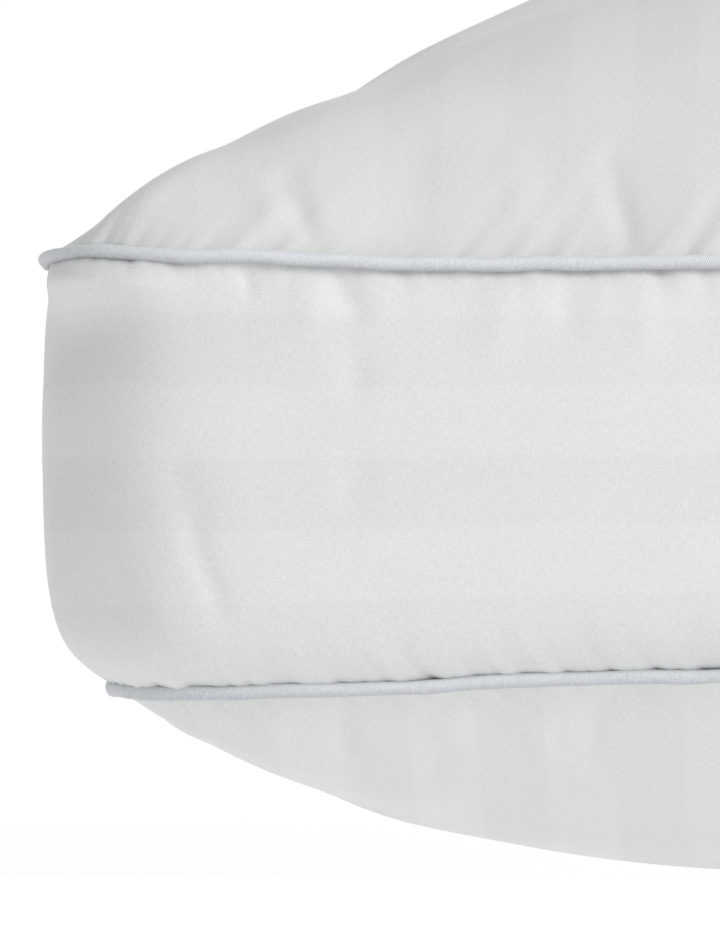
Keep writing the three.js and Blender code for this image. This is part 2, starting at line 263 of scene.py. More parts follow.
def grow_cover():
    """Cloth with a little more length than the filling fills, which buckles into soft creases. Gives
    the belt's rings before and after."""
    rings, hold = belt()
    ring_count, count = rings.shape[:2]
    mesh = bpy.data.meshes.new("belt")
    mesh.from_pydata((rings.reshape(-1, 3) * MM).tolist(), [], quads(ring_count, count).tolist())
    belt_object = bpy.data.objects.new("belt", mesh)
    bpy.context.scene.collection.objects.link(belt_object)
    hold_group = belt_object.vertex_groups.new(name="hold")
    spare_group = belt_object.vertex_groups.new(name="spare")
    for k in range(ring_count):
        indices = list(range(k * count, (k + 1) * count))
        hold_group.add(indices, float(hold[k]), "REPLACE")
        near = min(abs(k - TOP_RINGS), abs(k - TOP_RINGS - BAND_RINGS))
        spare_group.add(indices, float(math.exp(-near / 5)), "REPLACE")
    cloth = belt_object.modifiers.new("cloth", "CLOTH")
    settings = cloth.settings
    settings.quality = 5
    settings.mass = 0.05
    settings.tension_stiffness = settings.compression_stiffness = 20
    settings.shear_stiffness = 5
    settings.bending_stiffness = 0.6
    settings.tension_damping = settings.compression_damping = settings.shear_damping = 5
    settings.air_damping = 5
    settings.vertex_group_mass = "hold"
    settings.pin_stiffness = 1.0
    settings.vertex_group_shrink = "spare"
    settings.shrink_min = -0.02
    settings.shrink_max = -0.06
    settings.effector_weights.gravity = 0
    settings.use_pressure = True
    settings.uniform_pressure_force = 0.3
    cloth.point_cache.frame_start = 1
    cloth.point_cache.frame_end = SIM_FRAMES
    for step in range(1, SIM_FRAMES + 1):
        bpy.context.scene.frame_set(step)
    evaluated = belt_object.evaluated_get(bpy.context.evaluated_depsgraph_get())
    grown = np.empty(ring_count * count * 3)
    evaluated.data.vertices.foreach_get("co", grown)
    bpy.context.scene.frame_set(1)
    bpy.data.objects.remove(belt_object)
    return rings, grown.reshape(ring_count, count, 3) / MM


def evened(moved):
    """The simulated movement, by ring and station, without its finest creases."""
    moved = smooth_closed(moved.swapaxes(0, 1), EVEN_ALONG).swapaxes(0, 1)
    for _ in range(EVEN_ACROSS):
        padded = np.concatenate([moved[:1], moved, moved[-1:]])
        moved = (padded[:-2] + 2 * padded[1:-1] + padded[2:]) / 4
    return moved


# ---- Refined rings ----

CLOSE_REACH = np.array([115, 45])  # the front corner at -X, which is seen closest, gets finer stations
CLOSE_STEPS = 6  # stations to a stitch there
FAR_STEPS = 2


def fine_places():
    """Fractional station numbers of the finest level, and the indices of each coarser level in it."""
    corner = -UPPER_HALF
    near = (np.abs(UPPER_XY - corner) < CLOSE_REACH).all(1)
    places, middles, starts = [], [], []
    for i in range(COUNT):
        steps = CLOSE_STEPS if near[i] else FAR_STEPS
        starts.append(len(places))
        if near[i]:
            middles.append(len(places) + steps // 2)
        places.extend(i + j / steps for j in range(steps))
    every = np.arange(len(places))
    second = np.sort(np.array(starts + middles))
    return np.array(places), [every, second, np.array(starts[::2]), np.array(starts[::4])]


PLACES, LEVELS = fine_places()


def spline(rows, places, closed):
    """Rows at fractional row numbers, on a uniform cubic B-spline that ends on its end rows."""
    base = np.floor(places).astype(int)
    t = (places - base).reshape(-1, *[1] * (rows.ndim - 1))
    if closed:
        picked = [rows[(base + k) % len(rows)] for k in (-1, 0, 1, 2)]
    else:
        padded = np.concatenate([2 * rows[:1] - rows[1:2], rows, 2 * rows[-1:] - rows[-2:-1], rows[-1:]])
        picked = [padded[np.minimum(base + k + 1, len(padded) - 1)] for k in (-1, 0, 1, 2)]
    a, b, c, d = picked
    weights = [(1 - t) ** 3, 3 * t**3 - 6 * t**2 + 4, -3 * t**3 + 3 * t**2 + 3 * t + 1, t**3]
    return (a * weights[0] + b * weights[1] + c * weights[2] + d * weights[3]) / 6


def refine(coarse, ring_places):
    """A coarse grid of rings and stations at fine ring places and at every fine station."""
    across = spline(coarse, ring_places, False)
    return spline(across.swapaxes(0, 1), PLACES, True).swapaxes(0, 1)


def grid_normals(points):
    """Unit normals of a grid of rings, by its neighbours. They point out where rings run upward or
    outward and stations run anticlockwise."""
    along = np.roll(points, -1, 1) - np.roll(points, 1, 1)
    across = np.gradient(points, axis=0)
    normal = np.cross(along, across)
    return normal / np.maximum(np.linalg.norm(normal, axis=2, keepdims=True), 1e-9)


def ring_faces(first, level_a, second, level_b):
    """Faces between two rings of vertices, where one ring's stations are among the other's."""
    a, b = LEVELS[level_a], LEVELS[level_b]
    if level_a == level_b:
        i = np.arange(len(a))
        nxt = (i + 1) % len(a)
        return np.stack([first + i, first + nxt, second + nxt, second + i], 1).tolist()
    swap = len(a) < len(b)
    many, few = (b, a) if swap else (a, b)
    many_first, few_first = (second, first) if swap else (first, second)
    at = np.searchsorted(many, few)
    faces = []
    for j in range(len(few)):
        start = at[j]
        end = at[j + 1] if j + 1 < len(few) else at[0] + len(many)
        run = [many_first + k % len(many) for k in range(start, end + 1)]
        face = run + [few_first + (j + 1) % len(few), few_first + j]
        faces.append(face[::-1] if swap else face)
    return faces


def make_object(name, points, faces, material, uv):
    """A piece from points and flat cloth coordinates in millimetres."""
    mesh = bpy.data.meshes.new(name)
    mesh.from_pydata((np.asarray(points) * MM).tolist(), [], faces)
    corners = np.empty(len(mesh.loops), int)
    mesh.loops.foreach_get("vertex_index", corners)
    layer = mesh.uv_layers.new(name="cloth")
    layer.data.foreach_set("uv", (np.asarray(uv) * MM)[corners].ravel())
    mesh.shade_smooth()
    mesh.materials.append(material)
    made = bpy.data.objects.new(name, mesh)
    bpy.context.scene.collection.objects.link(made)
    return made


def closing_faces(points, first):
    """Triangles that close a long ring straight across its width, from its right end to its left."""
    count = len(points)
    near = int(np.argmax(points[:, 0] - np.abs(points[:, 1])))
    far = near - 1
    faces = []
    for step in range(count - 2):
        forward = step % 2 == 0
        following = near + 1 if forward else far - 1
        faces.append([first + v % count for v in (near, following, far)])
        near, far = (following, far) if forward else (near, following)
    return faces


def ring_solid(name, rings, material, capped=True):
    """A closed mesh through rings of (points, uv, level). Triangles close each end, or the last ring
    joins the first."""
    points, uv, faces, starts = [], [], [], []
    for ring, ring_uv, level in rings:
        starts.append(sum(map(len, points)))
        points.append(ring[LEVELS[level]])
        uv.append(ring_uv[LEVELS[level]])
    for k in range(len(rings) - 1):
        faces += ring_faces(starts[k], rings[k][2], starts[k + 1], rings[k + 1][2])
    if capped:
        faces += [face[::-1] for face in closing_faces(points[0], starts[0])]
        faces += closing_faces(points[-1], starts[-1])
    else:
        faces += ring_faces(starts[-1], rings[-1][2], starts[0], rings[0][2])
    return make_object(name, np.concatenate(points), faces, material, np.concatenate(uv))


# ---- The cloth's own coordinates ----


def cloth_reach(level, turn, crown, half):
    """Distance along the cloth from a side to a point this far in from it, as a function."""
    inward = np.linspace(0, half, 400)
    height = crown * settle(inward, level, turn)
    steps = np.hypot(np.diff(inward), np.diff(height))
    reach = np.concatenate([[0], np.cumsum(steps)])
    return lambda distance: np.interp(distance, inward, reach)


def panel_uv(points, half, settles, crown):
    """Where each point of a panel lies on its flat cloth, from the panel's middle."""
    distance = side_distances(points[..., :2], half)
    flat = []
    for axis in (0, 1):
        reach = cloth_reach(*settles[axis], crown, half[axis])
        flat.append(np.sign(points[..., axis]) * (reach(half[axis]) - reach(distance[..., axis])))
    return np.stack(flat, -1)


ALONG = np.concatenate([[0], np.cumsum(np.linalg.norm(np.roll(UPPER_XY, -1, 0) - UPPER_XY, axis=1))])
FINE_ALONG = np.interp(PLACES, np.arange(COUNT + 1), ALONG)
BAND_HEIGHT = UPPER_SEAM - LOWER_SEAM
FRONT_CORNER = CORNERS[-1, -1]  # where along the seam the corner is that is seen closest


def band_uv(share):
    """The same for a ring of the side band, from its join and from its lower edge."""
    return np.column_stack([FINE_ALONG, np.full(len(FINE_ALONG), share * BAND_HEIGHT)])


# ---- Folds and puckers, on fine grids ----

FINE_NORMAL = spline(NORMAL, PLACES, True)
BEAD = 0.34  # how far the cloth swells between two stitches
SHORT_CREASE = 0.16
LUMP = 1.3  # height of the filling's broad lumps
CLOSE_SPAN = 200  # the chosen folds lie within this much of the seam, on each side of the closest corner
FIRST_CHANCE = 108.0  # the chance folds start this far along the seam from that corner
LAST_CHANCE = 22  # and end this far before it

# Soft folds by the closest corner. Each has its start and its end, as (along X from the pillow's end, away
# from the seam), its width, and its height, which is less than 0 for a furrow.
TOP_FOLDS = [
    ((33.5, 13), (39, 2), 1.7, -0.85),
    ((29, 12), (33, 4), 2.2, 0.4),
    ((12, 3), (26, 17), 2.0, 0.5),
    ((54, 20), (51, 4), 4.0, -0.35),
    ((80, 17), (84, 2), 1.8, -0.7),
    ((66, 18), (69, 5), 3.0, 0.35),
]
BAND_FOLDS = [  # away from the upper seam
    ((41, 1), (45.5, 9), 2.0, -0.6),
    ((37, 2), (38, 10), 2.5, 0.35),
    ((43.5, 12), (45, 20), 2.6, -0.45),
    ((44, 27), (44, 36), 2.4, -0.4),
    ((17.5, 27), (22.5, 39), 2.6, -0.55),
    ((20, 37), (26, 50), 1.7, -0.5),
    ((28.5, 1), (29.5, 6), 1.0, -0.35),
    ((9, 44), (14, 51), 1.5, -0.35),
    ((10, 3), (4, 12), 3.0, -0.35),
    ((66, 2), (64, 14), 3.0, 0.3),
    ((88, 2), (85, 14), 3.0, 0.3),
    ((74, 3), (75, 11), 2.5, -0.35),
]
BOTTOM_FOLDS = [
    ((42, 2), (44, 12), 1.8, -0.7),
    ((57, 10), (55, 19), 2.0, -0.5),
    ((59, 2), (58, 10), 2.4, 0.45),
    ((71, 2), (71, 16), 2.6, 0.4),
    ((79, 2), (78.5, 16), 1.7, -0.65),
    ((30, 2), (33, 10), 2.5, 0.3),
]


def chance_folds(seed, lowest, highest, spacing, widths, heights):
    """Folds like those all the way round from there, one after another along the seam. lowest and
    highest are how far away from the seam they start and end."""
    draw = np.random.default_rng(seed)
    folds = []
    place = FIRST_CHANCE
    while place < ALONG[-1] - LAST_CHANCE:
        start = draw.uniform(lowest, 0.4 * highest)
        reach = draw.uniform(0.2 * highest, highest - start)
        lean = draw.uniform(-0.35, 0.35) * reach
        height = draw.choice(heights)
        folds.append(((place, start), (place + lean, start + reach), draw.uniform(*widths), height))
        place += draw.uniform(*spacing)
    return folds


def small_folds(seed, highest):
    return chance_folds(seed, 1.5, highest, (9, 26), (1.4, 4.0), [-0.9, -0.65, -0.45, 0.45, 0.7])


def large_folds(seed, highest):
    return chance_folds(seed, 4, highest, (26, 60), (4.5, 9.0), [-2.0, -1.5, -1.2, 1.0, 1.4])


def round_from_corner(place):
    """Places along the seam from the closest corner, less than 0 on its other side."""
    around = ALONG[-1]
    return (place - FRONT_CORNER + around / 2) % around - around / 2


def fold_relief(along, away, folds):
    """The folds' height at grids of places along the seam and away from it."""
    total = np.zeros(along.shape)
    for start, end, width, height in folds:
        run = np.subtract(end, start)
        length = math.hypot(*run)
        place = round_from_corner(FRONT_CORNER + start[0])
        columns = (np.abs(along - place) < length + 4 * width).any(0)
        aside = along[:, columns] - place
        further = away[:, columns] - start[1]
        share = (aside * run[0] + further * run[1]) / length**2
        across = (aside * run[1] - further * run[0]) / length
        total[:, columns] += height * np.exp(-((across / width) ** 2) - ((share - 0.5) / 0.45) ** 4)
    return total


def by_station(distance):
    """Grids of places along the seam and away from it, for rings at these distances."""
    return np.meshgrid(round_from_corner(FINE_ALONG), distance)


def stitch_beads(seed):
    """The swelling between each pair of stitches, from 0 at a stitch to about 1, by fine station."""
    size = np.random.default_rng(seed).uniform(0.5, 1.2, COUNT + 1)
    size[-1] = size[0]
    return np.abs(np.sin(math.pi * PLACES)) ** 0.8 * size[np.floor(PLACES).astype(int)]


def ripple(seed, shortest, longest, waves=24):
    """A smooth random height along the seam, about 1 high, of wavelengths in a range."""
    draw = np.random.default_rng(seed)
    total = np.zeros(len(PLACES))
    for _ in range(waves):
        length = draw.uniform(shortest, longest)
        turns = max(1, round(ALONG[-1] / length))
        total += np.sin(2 * math.pi * turns * FINE_ALONG / ALONG[-1] + draw.uniform(0, 2 * math.pi))
    return total / math.sqrt(waves / 2)


def seam_relief(distance, seed):
    """How far the cloth stands out near a seam: beads between the stitches, and short creases."""
    beads = (stitch_beads(seed) - 0.5)[None]
    short = ripple(seed + 1, 5, 12)[None]
    reach = np.maximum(4 + 2 * ripple(seed + 3, 15, 50), 2)[None]
    away = distance[:, None]
    return BEAD * beads * np.exp(-away / 1.6) + SHORT_CREASE * short * np.exp(-away / reach)


def lumps(points, seed, waves=40):
    """Broad lumps of the filling under a panel, by place in plan."""
    draw = np.random.default_rng(seed)
    total = np.zeros(points.shape[:2])
    for _ in range(waves):
        length = draw.uniform(60, 190)
        heading = draw.uniform(0, 2 * math.pi)
        turn = 2 * math.pi / length
        shift = draw.uniform(0, 2 * math.pi)
        x, y = points[..., 0] * turn, points[..., 1] * turn
        total += np.sin(x * math.cos(heading) + y * math.sin(heading) + shift)
    return LUMP * total / math.sqrt(waves / 2)


# ---- The cover ----

PLY = 0.45  # from a seam's middle plane to the face of the cloth sewn on each side of it
HUG = 0.4  # how far the cloth bulges out over the cord at its edge
CLOTH = 0.5
ALLOWANCE = 9.5
JOIN_GROOVE = 0.8  # depth of the groove where the side band's ends are joined
TUCK = 0.12  # from a seam's middle plane to the turned-in cloth
TOP_END, BOTTOM_END = 29, 28  # the last rings, next to the middle of each panel


def stepped(*runs):
    """Ring places from runs of (first ring, last ring, steps to a ring)."""
    fine = [np.arange(first, last, 1 / steps) for first, last, steps in runs]
    return np.append(np.concatenate(fine), runs[-1][1])


BAND_PLACES = stepped((0, 3, 6), (3, BAND_RINGS - 3, 2), (BAND_RINGS - 3, BAND_RINGS, 6))


def cover_grids():
    """Coarse grids of the top panel and the bottom panel, from the seam in, and of the side band, from
    the lower seam up."""
    rings, grown = grow_cover()
    grown = rings + evened(grown - rings)
    top = [*grown[TOP_RINGS::-1], *(top_ring(ring_distance(k)) for k in range(TOP_RINGS + 1, TOP_END + 1))]
    band = grown[TOP_RINGS : TOP_RINGS + BAND_RINGS + 1][::-1]
    inner = (bottom_ring(ring_distance(k)) for k in range(BOTTOM_RINGS + 1, BOTTOM_END + 1))
    bottom = [*grown[TOP_RINGS + BAND_RINGS :], *inner]
    return np.array(top), np.array(bottom), np.array(band)


def offset(line, out, up):
    """A line along the seam moved outward and upward."""
    out, up = np.broadcast_to(out, len(line)), np.broadcast_to(up, len(line))
    return line + np.column_stack([FINE_NORMAL * out[:, None], up])


def level_of(distance):
    """Stations are finest near a seam, and wider apart further in."""
    return int(np.searchsorted([24, 60, 140], distance))


def hug(points, distance, side):
    """The cloth's edge lies over the cord and the ply under it."""
    near = np.exp(-distance / 1.5)[:, None]
    out = HUG * near[..., None] * FINE_NORMAL
    return points + np.concatenate([out, np.broadcast_to(side * PLY * near, out.shape[:2])[..., None]], -1)


def chosen_places(points, along):
    """How far along X from the pillow's end the points are that the chosen folds can reach. The others
    count as far away."""
    return np.where(np.abs(along) < CLOSE_SPAN, points[..., 0] + UPPER_HALF[0], ALONG[-1])


def panel(name, grid, end, side, half, settles, crown, folds, seed, material):
    """A panel as a closed solid: its visible skin, the fold at the seam with its allowance, and the
    skin inside. side is 1 for the top and -1 for the bottom."""
    ring_places = stepped((0, 3, 6), (3, 9, 3), (9, end, 2))
    points = refine(grid, ring_places)
    distance = ring_distance(ring_places)
    along, away = by_station(distance)
    relief = seam_relief(distance, seed)
    relief += fold_relief(along, away, small_folds(seed, 42) + large_folds(seed + 5, 95))
    relief += fold_relief(chosen_places(points, along), away, folds)
    if side > 0:
        relief += lumps(points, seed) * (1 - np.exp(-distance / 25))[:, None]
    outer = hug(points + grid_normals(points) * side * relief[..., None], distance, side)
    outer[..., 2] = np.maximum(outer[..., 2], 0.0)
    uv = panel_uv(points, half, settles, crown)
    skin = [(outer[k], uv[k], level_of(d)) for k, d in enumerate(distance)]

    seam = points[0]
    fold = [
        (offset(seam, -0.1, side * TUCK), uv[0], 2),
        (offset(seam, -ALLOWANCE, side * TUCK), uv[0], 2),
        (offset(seam, -ALLOWANCE, side * (TUCK + CLOTH)), uv[0], 2),
        (offset(seam, -2.0, side * (TUCK + CLOTH)), uv[0], 2),
    ]
    inside_places = np.append([1.5, 2.5], np.arange(4, end, 2))
    inside_places[-1] = end
    inside = refine(grid, inside_places)
    inside_uv = panel_uv(inside, half, settles, crown)
    inside = inside - grid_normals(inside) * side * 2 * CLOTH
    lining = [(inside[k], inside_uv[k], 3 if p > 12 else 2) for k, p in enumerate(inside_places)]
    loop = skin[::-1] + fold + lining
    return ring_solid(name, loop if side < 0 else loop[::-1], material)


def band_skin(grid, ring_places, seed):
    """The side band's visible face, with its folds, its puckers and the groove of its join."""
    points = refine(grid, ring_places)
    from_lower = ring_places / BAND_RINGS * BAND_HEIGHT
    from_upper = BAND_HEIGHT - from_lower
    relief = seam_relief(from_lower, seed) + seam_relief(from_upper, seed + 10)
    along, away = by_station(from_upper)
    relief += fold_relief(chosen_places(points, along), away, BAND_FOLDS)
    relief += fold_relief(along, away, small_folds(seed + 20, 40))
    relief += fold_relief(*by_station(from_lower), small_folds(seed + 30, 24) + large_folds(seed + 40, 50))
    from_join = np.minimum(FINE_ALONG, ALONG[-1] - FINE_ALONG)
    relief -= JOIN_GROOVE * np.exp(-((from_join / 1.3) ** 2)) * (1 + 0.3 * np.sin(from_upper * 1.7))[:, None]
    outer = points + grid_normals(points) * relief[..., None]
    return hug(hug(outer, from_lower, 1), from_upper, -1)


def band(name, grid, outer, material):
    """The side band as a closed ring: its visible skin, an allowance along each seam, and the skin
    inside."""
    share = BAND_PLACES / BAND_RINGS
    near = np.minimum(share, 1 - share) * BAND_HEIGHT
    skin = [(outer[k], band_uv(share[k]), level_of(d)) for k, d in enumerate(near)]
    lower, upper = refine(grid, np.array([0, BAND_RINGS]))
    tucked = [
        (offset(upper, -0.1, -TUCK), band_uv(1), 2),
        (offset(upper, -ALLOWANCE, -TUCK), band_uv(1), 2),
        (offset(upper, -ALLOWANCE, -TUCK - CLOTH), band_uv(1), 2),
        (offset(upper, -1.5, -TUCK - CLOTH), band_uv(1), 2),
    ]
    inside_places = np.arange(1.5, BAND_RINGS - 1, 1.5)
    inside = refine(grid, inside_places)
    inside = (inside - grid_normals(inside) * 2 * CLOTH)[::-1]
    lining = [(inside[k], band_uv(p / BAND_RINGS), 2) for k, p in enumerate(inside_places[::-1])]
    turned = [
        (offset(lower, -1.5, TUCK + CLOTH), band_uv(0), 2),
        (offset(lower, -ALLOWANCE, TUCK + CLOTH), band_uv(0), 2),
        (offset(lower, -ALLOWANCE, TUCK), band_uv(0), 2),
        (offset(lower, -0.1, TUCK), band_uv(0), 2),
    ]
    return ring_solid(name, skin + tucked + lining + turned, material, capped=False)


def filling(name, top_grid, bottom_grid, band_grid, material):
    """The loose fibre: the cover's own shape, a little inside it and uneven."""
    panel_places = np.array([4, 5, 6, 8, 10, 12, 14, 17, 20, 24])
    band_places = np.arange(2, BAND_RINGS - 1, 2)
    parts = [(bottom_grid, panel_places[::-1], -1), (band_grid, band_places, 1), (top_grid, panel_places, 1)]
    rings = []
    for grid, ring_places, side in parts:
        points = refine(grid, np.sort(ring_places))
        tufts = np.array([0.25 * ripple(500 + k, 6, 30) for k in range(len(ring_places))])
        inside = points - grid_normals(points) * side * (3.6 + tufts[..., None])
        if ring_places[0] > ring_places[-1]:
            inside = inside[::-1]
        for k, ring in enumerate(inside):
            rings.append((ring, band_uv(len(rings) / 10), 3 if ring_places[k] > 14 else 2))
    return ring_solid(name, rings, material)


# ---- Piping, threads and label ----

THREAD_RADIUS = 0.15
JOIN_PITCH = 2.8
JOIN_STITCH = 2.3
CLOSING_PITCH = 3.6
CLOSING_SLANT = 2.4  # how far along the seam a closing stitch runs
CLOSING_RISE = 1.1  # how far above and below the closing it reaches
LABEL_THICKNESS = 0.3
LABEL_GAP = 0.7  # between the side band and the label's near face
LABEL_CURL = 3.2


def swept(name, line, section, material, level=0, swell=None):
    """A closed ring of a section, [outward, up] points, carried along a seam. swell is the section's
    size at each fine station."""
    swell = np.ones(len(line)) if swell is None else swell
    middle = np.mean(section, axis=0)
    rings = []
    for j, point in enumerate(section):
        out, up = (middle[axis] + (point[axis] - middle[axis]) * swell for axis in (0, 1))
        uv = np.column_stack([FINE_ALONG, np.full(len(FINE_ALONG), j / len(section) / MM)])
        rings.append((offset(line, out, up), uv, level))
    return ring_solid(name, rings, material, capped=False)


def circle(out, up, radius, sides):
    """A round section whose first point faces the pillow."""
    angle = math.pi + (np.arange(sides) + 0.5) / sides * 2 * math.pi
    return np.column_stack([out + radius * np.cos(angle), up + radius * np.sin(angle)])


def tube(points, radius, sides):
    """Vertices and faces of a round tube along points, closed at both ends."""
    points = np.asarray(points, float)
    tangent = np.gradient(points, axis=0)
    tangent /= np.linalg.norm(tangent, axis=1, keepdims=True)
    first = np.cross(tangent, [0.31, 0.17, 0.94])
    first /= np.linalg.norm(first, axis=1, keepdims=True)
    second = np.cross(tangent, first)
    angle = np.arange(sides) / sides * 2 * math.pi
    ring = np.cos(angle)[None, :, None] * first[:, None] + np.sin(angle)[None, :, None] * second[:, None]
    vertices = (points[:, None] + radius * ring).reshape(-1, 3)
    faces = []
    for k in range(len(points) - 1):
        for j in range(sides):
            nxt = (j + 1) % sides
            faces.append([k * sides + j, k * sides + nxt, (k + 1) * sides + nxt, (k + 1) * sides + j])
    last = (len(points) - 1) * sides
    faces.append(list(range(sides))[::-1])
    faces.append(list(range(last, last + sides)))
    return vertices, faces


def threads(name, runs, radius, material):
    """Many short threads as one piece."""
    vertices, faces = [], []
    for run in runs:
        points, sides = tube(run, radius, 8)
        shift = sum(map(len, vertices))
        faces += [[v + shift for v in face] for face in sides]
        vertices.append(points)
    points = np.concatenate(vertices)
    return make_object(name, points, faces, material, points[:, [0, 2]] + points[:, [1, 1]])


def on_band(skin, station, up):
    """The point of the side band's face at a fine station and a height."""
    column = skin[:, station]
    x, y = (np.interp(up, column[:, 2], column[:, axis]) for axis in (0, 1))
    return np.array([x, y, up])


def side_stations(skin, axis):
    """The fine stations on the side that faces + along an axis, in order along that side, and where on it
    they are."""
    middle = skin[len(skin) // 2]
    found = np.flatnonzero(middle[:, axis] > UPPER_HALF[axis] - 2 * CORNER_RADIUS)
    found = found[np.argsort(middle[found, 1 - axis])]
    return found, middle[found, 1 - axis]


def stitch_run(start, end, out, proud):
    """One stitch from a point to another, which rises out of the cloth between them."""
    share = np.linspace(0, 1, 9)[:, None]
    line = np.array(start) + (np.array(end) - start) * share
    rise = proud * (1 - (2 * share - 1) ** 4) - 0.35
    return line + rise * np.append(out, 0)


def join_stitches(name, skin, material):
    """The stitches down in the groove where the side band's two ends are sewn together."""
    runs = []
    for up in np.arange(LOWER_SEAM + 3, UPPER_SEAM - 3, JOIN_PITCH):
        low, high = on_band(skin, 0, up), on_band(skin, 0, up + JOIN_STITCH)
        runs.append(stitch_run(low, high, FINE_NORMAL[0], 0.35))
    return threads(name, runs, THREAD_RADIUS, material)


def closing_stitches(name, skin, material):
    """The slanted stitches that closed the cover once it was filled, low on the end at +X."""
    box = box_mm("closing_thread")
    height = (box[0][2] + box[1][2]) / 2
    stations, across = side_stations(skin, 0)
    runs = []
    for y in np.arange(box[0][1], box[1][1] - CLOSING_PITCH, CLOSING_PITCH):
        near, far = (stations[np.searchsorted(across, y + step)] for step in (0, CLOSING_SLANT))
        low, high = on_band(skin, near, height - CLOSING_RISE), on_band(skin, far, height + CLOSING_RISE)
        runs.append(stitch_run(low, high, FINE_NORMAL[near], 0.6))
    return threads(name, runs, THREAD_RADIUS * 1.3, material)


def sheet_faces(rows, columns):
    """Faces of a thin sheet with two sides of rows by columns cells, near side first, and its edges."""
    grid = np.arange(2 * (rows + 1) * (columns + 1)).reshape(2, rows + 1, columns + 1)
    faces = []
    for k, sheet in enumerate(grid):
        corners = [sheet[:-1, :-1], sheet[:-1, 1:], sheet[1:, 1:], sheet[1:, :-1]]
        cells = np.stack(corners, -1).reshape(-1, 4)
        faces += (cells if k == 0 else cells[:, ::-1]).tolist()
    for near, far in (grid[:, 0, :], grid[:, :, -1], grid[:, -1, ::-1], grid[:, ::-1, 0]):
        for a, b, c, d in zip(near[:-1], near[1:], far[1:], far[:-1]):
            faces.append([int(v) for v in (b, a, d, c)])
    return faces


def label_curl(across, down):
    """How far the label stands off, by shares of the way across and down."""
    curl = LABEL_CURL * down**2.5 * (1 + 0.5 * math.sin(across * 3.4))
    return curl + 0.25 * math.sin(down * 9 + across * 4)


def care_tag(name, skin, material):
    """A blank label caught in the upper seam at the back, which hangs free and curls a little."""
    box = box_mm("care_label")
    width, drop = box[1][0] - box[0][0], box[1][2] - box[0][2]
    columns, rows = 19, 24
    stations, along = side_stations(skin, 1)
    points, uv = [], []
    for side in (0, 1):
        for i in range(rows + 1):
            for j in range(columns + 1):
                across, down = j / columns, i / rows
                x = box[0][0] + width * across
                station = stations[np.searchsorted(along, x)]
                skin_y = on_band(skin, station, box[1][2] - drop * down)[1]
                y = max(skin_y, skin_y + label_curl(across, down)) + LABEL_GAP + side * LABEL_THICKNESS
                points.append((x, y, box[1][2] - drop * down))
                uv.append((width * across, drop * (1 - down)))
    label = make_object(name, points, sheet_faces(rows, columns), material, uv)
    return label


# ---- Materials ----


class Shader:
    """A material with a Principled shader, and short ways to add nodes to it."""

    def __init__(self, name, roughness, sheen=0.0):
        self.material = bpy.data.materials.new(name)
        self.material.use_nodes = True
        self.tree = self.material.node_tree
        self.principled = self.tree.nodes["Principled BSDF"]
        self.principled.inputs["Roughness"].default_value = roughness
        self.principled.inputs["Specular IOR Level"].default_value = 0.35
        self.principled.inputs["Sheen Weight"].default_value = sheen
        self.principled.inputs["Sheen Roughness"].default_value = 0.4

    def node(self, kind, **settings):
        made = self.tree.nodes.new(kind)
        for key, value in settings.items():
            setattr(made, key, value)
        return made

    def feed(self, socket, value):
        if isinstance(value, bpy.types.NodeSocket):
            self.tree.links.new(value, socket)
        elif value is not None:
            socket.default_value = value

    def math(self, operation, a, b=None, c=None):
        made = self.node("ShaderNodeMath", operation=operation)
        for socket, value in zip(made.inputs, (a, b, c)):
            self.feed(socket, value)
        return made.outputs[0]

    def cloth_place(self):
        """Coordinates on the flat cloth, in metres: across and up."""
        uv = self.node("ShaderNodeUVMap", uv_map="cloth")
        split = self.node("ShaderNodeSeparateXYZ")
        self.feed(split.inputs[0], uv.outputs[0])
        return split.outputs[0], split.outputs[1]

    def noise(self, x, y, size_x, size_y, detail=2.0):
        """Noise from about 0 to 1 with patches of these sizes, in millimetres, along x and y."""
        place = self.node("ShaderNodeCombineXYZ")
        self.feed(place.inputs[0], self.math("DIVIDE", x, size_x * MM))
        self.feed(place.inputs[1], self.math("DIVIDE", y, size_y * MM))
        made = self.node("ShaderNodeTexNoise", noise_dimensions="2D")
        self.feed(made.inputs["Vector"], place.outputs[0])
        made.inputs["Scale"].default_value = 1.0
        made.inputs["Detail"].default_value = detail
        return made.outputs["Fac"]

    def colour(self, dark, light, share):
        made = self.node("ShaderNodeMix", data_type="RGBA")
        self.feed(made.inputs["Factor"], share)
        made.inputs["A"].default_value = (*dark, 1)
        made.inputs["B"].default_value = (*light, 1)
        self.feed(self.principled.inputs["Base Color"], made.outputs["Result"])

    def bump(self, height, depth):
        """Relief of this depth, in millimetres, where height goes from 0 to 1."""
        made = self.node("ShaderNodeBump")
        made.inputs["Strength"].default_value = 1.0
        made.inputs["Distance"].default_value = depth * MM
        self.feed(made.inputs["Height"], height)
        self.feed(self.principled.inputs["Normal"], made.outputs["Normal"])


STRIPE = 10  # width of each woven stripe
WINDING = 0.31  # pitch of the yarn wound round the piping


